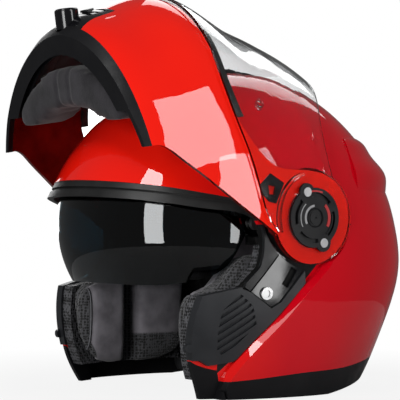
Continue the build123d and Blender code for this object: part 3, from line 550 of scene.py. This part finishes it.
def cord_along(source, name, point, normal, radius, keep=None):
    """Thin round cord laid where a plane cuts a piece."""
    line = bpy.data.objects.new(name, source.data.copy())
    bpy.context.collection.objects.link(line)
    take(line)
    bpy.ops.object.mode_set(mode="EDIT")
    bpy.ops.mesh.select_all(action="SELECT")
    bpy.ops.mesh.bisect(plane_co=point, plane_no=normal, clear_inner=True, clear_outer=True)
    bpy.ops.mesh.select_all(action="DESELECT")
    bpy.ops.object.mode_set(mode="OBJECT")
    if keep:
        for vertex in line.data.vertices:
            vertex.select = not keep(vertex.co)
        bpy.ops.object.mode_set(mode="EDIT")
        bpy.ops.mesh.delete(type="VERT")
        bpy.ops.object.mode_set(mode="OBJECT")
    bpy.ops.object.convert(target="CURVE")
    line.data.bevel_depth = radius
    line.data.bevel_resolution = 2
    line.data.use_fill_caps = True
    bpy.ops.object.convert(target="MESH")
    bpy.ops.object.shade_smooth()
    return line


# Half of the outline of the chin pad in plan, from its front middle round to its notch, in metres
CHIN_PAD_HALF = ((0.0150, -0.1312), (0.0300, -0.1280), (0.0500, -0.1200), (0.0600, -0.1140),
                 (0.0680, -0.1070), (0.0750, -0.0995), (0.0780, -0.0935), (0.0760, -0.0890),
                 (0.0690, -0.0876), (0.0600, -0.0874), (0.0500, -0.0880), (0.0400, -0.0905),
                 (0.0280, -0.0955), (0.0140, -0.0985))
CHIN_PAD_FRONT, CHIN_PAD_NOTCH = (0.0, -0.1320), (0.0, -0.0990)
CHIN_PAD_LOW, CHIN_PAD_HIGH = 0.0060, 0.0400


def chin_cushion():
    """Crescent-shaped pad inside the lip of the chin bar, as a plain thick slab."""
    outline = [CHIN_PAD_FRONT, *CHIN_PAD_HALF, CHIN_PAD_NOTCH,
               *((-x, y) for x, y in reversed(CHIN_PAD_HALF))]
    bpy.ops.mesh.primitive_circle_add(vertices=len(outline), radius=0.1, fill_type="NGON",
                                      location=(0.0, 0.0, CHIN_PAD_LOW))
    pad = bpy.context.object
    bpy.ops.object.transform_apply(location=True, rotation=False, scale=False)
    for vertex, (x, y) in zip(pad.data.vertices, outline):
        vertex.co = (x, y, CHIN_PAD_LOW)
    bpy.ops.object.mode_set(mode="EDIT")
    bpy.ops.mesh.select_all(action="SELECT")
    bpy.ops.mesh.extrude_region_move(
        TRANSFORM_OT_translate={"value": (0.0, 0.0, CHIN_PAD_HIGH - CHIN_PAD_LOW)})
    bpy.ops.mesh.select_all(action="SELECT")
    bpy.ops.mesh.normals_make_consistent(inside=False)
    bpy.ops.object.mode_set(mode="OBJECT")
    pad.data.transform(RAISE)
    return pad


def eased(value, start, end):
    """Runs smoothly from 0 to 1 between two values."""
    share = min(max((value - start) / (end - start), 0.0), 1.0)
    return share * share * (3.0 - 2.0 * share)


def ear_pocket(pad, side):
    """Hollows a cheek pad out behind its front roll."""
    for vertex in pad.data.vertices:
        least = (CHEEK_FACE + EAR_DEPTH * eased(vertex.co.y, EAR_FRONT, EAR_FRONT + EAR_SLOPE)
                 - REAR_RISE * eased(vertex.co.y, EAR_BACK, EAR_BACK + EAR_SLOPE))
        if side * vertex.co.x < least:
            vertex.co.x = side * least


def twin(piece, name):
    """Copy of a piece with its own mesh."""
    other = bpy.data.objects.new(name, piece.data.copy())
    bpy.context.collection.objects.link(other)
    return other


# Padding: node, then finish, body, slot, fineness of the skin, how far it is drawn in before it is
# swollen, and how far it may then travel, in metres
PADDING = {
    "cheek_pad_left": ("cheek_cover", "shell", "suede_grey", 0.0035, 0.0018, 0.006),
    "cheek_pad_right": ("cheek_cover", "shell", "suede_grey", 0.0035, 0.0018, 0.006),
    "nape_pad": ("painted_lit_suede", "shell", "suede_grey", 0.0040, 0.0015, 0.006),
    "crown_pad": ("mesh_cloth", "shell", "suede_grey", 0.0050, 0.0010, 0.005),
    "neck_roll": ("woven_cloth", "shell", "mesh_black", 0.0040, 0.0015, 0.006),
    "chin_pad": ("grey_suede", "chin_bar", "suede_grey", 0.0035, 0.0015, 0.006),
}


def soft_pieces():
    """All padding, shaped and swollen together."""
    pads = []
    for node, (finish, body, slot, voxel, shrink, travel) in PADDING.items():
        pad = chin_cushion() if node == "chin_pad" else copy_of(node, node + "_cushion")
        room = twin(pad, node + "_room")
        rounded(pad, voxel, shrink)
        if node.startswith("cheek"):
            ear_pocket(pad, 1.0 if node.endswith("left") else -1.0)
        pads.append((pad, room, travel))
        rest_on(pad, node + "_cushion", finish, body)
        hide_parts(node)
    inflated(pads)
    return {pad.name: pad for pad, room, travel in pads}


cushions = soft_pieces()

# Seams and piping of the pads, in metres
ACROSS, ALONG, UP = (1.0, 0.0, 0.0), (0.0, 1.0, 0.0), (0.0, 0.0, 1.0)
BAND_SEAM_REACH = 0.076
BAND_EDGE, BAND_EDGE_BACK = 0.0765, -0.07
PIPING_AHEAD, PIPING_RADIUS, PIPING_REACH = 0.0012, 0.0006, 0.0745
CHIN_SEAM_AWAY, CHIN_SEAM_LEAN = 0.017, 0.18
NAPE_SEAM_HEIGHT = 0.077

for side, name in SIDES:
    cheek = cushions["cheek_pad_" + name + "_cushion"]
    pressed_seam(cheek, (0.0, SUEDE_FRONT, 0.0), ALONG,
                 keep=lambda co: abs(co.x) < BAND_SEAM_REACH)
    pressed_seam(cheek, (side * BAND_EDGE, 0.0, 0.0), ACROSS, 0.0022, 0.0026,
                 lambda co: co.y < BAND_EDGE_BACK)
    piping = cord_along(cheek, "cheek_piping_" + name, (0.0, SUEDE_FRONT - PIPING_AHEAD, 0.0),
                        ALONG, PIPING_RADIUS, lambda co: abs(co.x) < PIPING_REACH)
    rest_on(piping, "cheek_piping_" + name, "piping", "shell")

for side, name in SIDES:
    pressed_seam(cushions["chin_pad_cushion"], (side * CHIN_SEAM_AWAY, 0.0, 0.0),
                 (1.0, -side * CHIN_SEAM_LEAN, 0.0), 0.0012, 0.0016)
pressed_seam(cushions["nape_pad_cushion"], (0.0, 0.0, NAPE_SEAM_HEIGHT), UP, 0.0014, 0.0020)


def latch_block(side, place, size, turn):
    """Small chamfered block in the slot of the side plate."""
    bpy.ops.mesh.primitive_cube_add(size=1.0, location=(0.0, 0.0, 0.0))
    block = bpy.context.object
    block.scale = size
    block.rotation_euler = (turn, 0.0, 0.0)
    block.location = (side * place[0], place[1], place[2])
    bpy.ops.object.transform_apply(location=True, rotation=True, scale=True)
    bpy.ops.object.mode_set(mode="EDIT")
    bpy.ops.mesh.select_all(action="SELECT")
    bpy.ops.mesh.bevel(offset=0.0004, segments=2)
    bpy.ops.object.mode_set(mode="OBJECT")
    return block


# Blocks seen in the slot of the side plate: name, finish, place and size in metres
SLOT_BLOCKS = (
    ("latch_flag", "red_mark", (0.1138, -0.0185, 0.0845), (0.0016, 0.0070, 0.0024)),
    # Painted highlight: the white block stands in for a bright glint in the slot
    ("latch_painted_highlight", "white_painted_highlight", (0.1142, -0.0150, 0.0935), (0.0014, 0.0036, 0.0030)),
)
SLOT_TURN = math.radians(58.0)

for side, name in SIDES:
    for label, finish, place, size in SLOT_BLOCKS:
        block = latch_block(side, place, size, SLOT_TURN)
        rest_on(block, label + "_" + name, finish, "shell")


# Face of the ratchet disc, how deep its arcs are let in, and the steps of a turned arc per radian
DISC_FACE, MARK_SINK, MARK_STEPS = 0.1256, 0.0002, 12.0


def ring_mark(side, inner, outer, start, span, rise):
    """Raised arc on the ratchet disc, between two radii, from a start angle over a span."""
    foot = Vector((side * (DISC_FACE - MARK_SINK), HINGE_DEPTH, HINGE_HEIGHT))
    bpy.ops.mesh.primitive_plane_add(size=1.0, location=foot)
    mark = bpy.context.object
    bpy.ops.object.transform_apply(location=True, rotation=False, scale=False)
    thick = side * (rise + MARK_SINK)
    corners = ((0.0, inner), (thick, inner), (0.0, outer), (thick, outer))
    way = Vector((0.0, math.cos(start), math.sin(start)))
    for vertex, (out, reach) in zip(mark.data.vertices, corners):
        vertex.co = foot + Vector((out, 0.0, 0.0)) + way * reach
    bpy.ops.object.mode_set(mode="EDIT")
    bpy.ops.mesh.select_all(action="SELECT")
    if span > math.radians(359.0):
        bpy.ops.mesh.delete(type="ONLY_FACE")
        bpy.ops.mesh.select_all(action="SELECT")
    bpy.ops.mesh.spin(steps=max(4, int(span * MARK_STEPS)), angle=-span, center=foot,
                      axis=(1.0, 0.0, 0.0))
    bpy.ops.mesh.select_all(action="SELECT")
    bpy.ops.mesh.remove_doubles(threshold=0.00001)
    bpy.ops.mesh.normals_make_consistent(inside=False)
    bpy.ops.object.mode_set(mode="OBJECT")
    return mark


# Arcs on the ratchet disc: name, finish, radii in metres, start and span in degrees, rise
DISC_MARKS = (
    ("hub", "satin_black", 0.0008, 0.0050, 0.0, 360.0, 0.0008),
    ("hub_rim", "polished_black", 0.0062, 0.0072, 0.0, 360.0, 0.0006),
    ("turn_arrow", "grey_mark", 0.0080, 0.0096, 95.0, 115.0, 0.0003),
    ("red_arc", "red_mark", 0.0118, 0.0140, -30.0, 75.0, 0.0004),
    ("red_arc_top", "red_mark", 0.0190, 0.0202, 70.0, 45.0, 0.0003),
    ("scale_arc", "grey_mark", 0.0128, 0.0134, 130.0, 80.0, 0.0003),
    ("clip_strip", "satin_black", 0.0150, 0.0160, -50.0, 60.0, 0.0009),
)

for side, name in SIDES:
    for label, finish, inner, outer, start, span, rise in DISC_MARKS:
        mark = ring_mark(side, inner, outer, math.radians(start), math.radians(span), rise)
        rest_on(mark, label + "_" + name, finish, "chin_bar")


# Lamps: name, place and target in metres, width, height, power in watts
LAMPS = (
    ("front_box", (0.912, -1.697, 0.13), (0.067, -0.108, 0.13), 0.68, 1.24, 25.0),
    ("side_box_high", (1.748, 0.374, 1.47), (0.11, -0.08, 1.47), 0.42, 1.46, 13.0),
    ("side_box_low", (1.674, 0.583, 0.24), (0.11, -0.08, 0.24), 0.36, 1.10, 9.0),
    ("top_box", (0.309, -1.250, 1.529), (0.066, -0.107, 0.16), 0.46, 0.40, 7.0),
    ("ledge_box", (0.085, -0.950, 1.740), (0.115, -0.036, 0.05), 0.50, 0.40, 2.0),
    ("rear_box", (-1.0, 1.19, 1.56), (0.0, 0.0, 0.15), 1.2, 1.0, 10.0),
    ("left_box", (-1.9, 0.6, 0.7), (0.0, -0.05, 0.14), 0.9, 1.4, 9.0),
)

# Floor disc, the distances between which it fades out, and how much of it the camera sees as white
# next to the helmet
FLOOR_RADIUS, FLOOR_DROP = 0.42, 0.0002
FADE_START, FADE_END = 0.16, 0.40
FLOOR_WHITE = 0.88

# Light of the room on matt and on glossy surfaces
ROOM_LIGHT = (("Is Diffuse Ray", 0.20), ("Is Glossy Ray", 0.10))

# Camera: degrees round from the front, distance, height and sideways shift in metres, lens in mm
VIEW_TURN = math.radians(56.0)
VIEW_DISTANCE, VIEW_HEIGHT, VIEW_SHIFT = 1.5, 0.145, 0.01417
LENS, SENSOR = 171.45, 36.0


def floor_disc():
    """Pale round floor that keeps the shadow and fades to white."""
    bpy.ops.mesh.primitive_circle_add(vertices=96, radius=FLOOR_RADIUS, fill_type="NGON",
                                      location=(0.0, 0.0, -FLOOR_DROP))
    floor = bpy.context.object
    floor.name = "floor"
    pale = Finish("pale_floor", (0.27, 0.27, 0.27), 0.9)
    pale.tone(pale.noise(30.0), (0.26, 0.26, 0.26), (0.28, 0.28, 0.28))
    glow = pale.add("ShaderNodeEmission")
    rays = pale.add("ShaderNodeLightPath")
    reach = pale.vector("LENGTH", pale.place.outputs["Object"], (0.0, 0.0, 0.0))
    share = pale.add("ShaderNodeMapRange")
    share.inputs["To Min"].default_value = FLOOR_WHITE
    pale.link(pale.step(reach, FADE_START, FADE_END), share.inputs["Value"])
    part = pale.number("MULTIPLY", rays.outputs["Is Camera Ray"], share.outputs["Result"])
    mix = pale.add("ShaderNodeMixShader")
    pale.link(part, mix.inputs["Fac"])
    pale.link(pale.shader.outputs[0], mix.inputs[1])
    pale.link(glow.outputs[0], mix.inputs[2])
    pale.link(mix.outputs[0], pale.tree.nodes["Material Output"].inputs["Surface"])
    floor.data.materials.append(pale.material)


def white_room():
    """World that is white to the camera and through clear sheet, and dim as a light."""
    world = bpy.data.worlds.new("studio")
    bpy.context.scene.world = world
    world.use_nodes = True
    tree = world.node_tree
    back = tree.nodes["Background"]
    back.inputs["Color"].default_value = (1.0, 1.0, 1.0, 1.0)
    rays = tree.nodes.new("ShaderNodeLightPath")
    unmirrored = combined(tree, "ShaderNodeMath", "LESS_THAN", rays.outputs["Glossy Depth"], 0.5)
    through = combined(tree, "ShaderNodeMath", "MULTIPLY", rays.outputs["Is Transmission Ray"],
                       unmirrored)
    level = combined(tree, "ShaderNodeMath", "MAXIMUM", rays.outputs["Is Camera Ray"], through)
    for kind, share in ROOM_LIGHT:
        part = combined(tree, "ShaderNodeMath", "MULTIPLY", rays.outputs[kind], share)
        level = combined(tree, "ShaderNodeMath", "MAXIMUM", level, part)
    tree.links.new(level, back.inputs["Strength"])


def lamp(name, place, target, width, height, power):
    """Soft box that faces a point."""
    bpy.ops.object.light_add(type="AREA", location=place)
    box = bpy.context.object
    box.name = name
    box.data.shape = "RECTANGLE"
    box.data.size, box.data.size_y = width, height
    box.data.energy = power
    box.rotation_euler = (Vector(target) - Vector(place)).to_track_quat("-Z", "Y").to_euler()


def photo_camera():
    """Camera at the photograph's angle."""
    back_way = Vector((math.sin(VIEW_TURN), -math.cos(VIEW_TURN), 0.0))
    right_way = Vector((math.cos(VIEW_TURN), math.sin(VIEW_TURN), 0.0))
    eye = (back_way * VIEW_DISTANCE - right_way * VIEW_SHIFT
           + Vector((0.0, HINGE_DEPTH, VIEW_HEIGHT)))
    bpy.ops.object.camera_add(location=eye, rotation=(math.radians(90.0), 0.0, VIEW_TURN))
    camera = bpy.context.object
    camera.data.sensor_width = SENSOR
    camera.data.lens = LENS
    bpy.context.scene.camera = camera


for name, node in NODES.items():
    paint(node, NODE_FINISH.get(plain_name(name), "satin_black"))

floor_disc()
white_room()
for name, place, target, width, height, power in LAMPS:
    lamp(name, place, target, width, height, power)
photo_camera()
bpy.context.scene.view_settings.view_transform = "Standard"
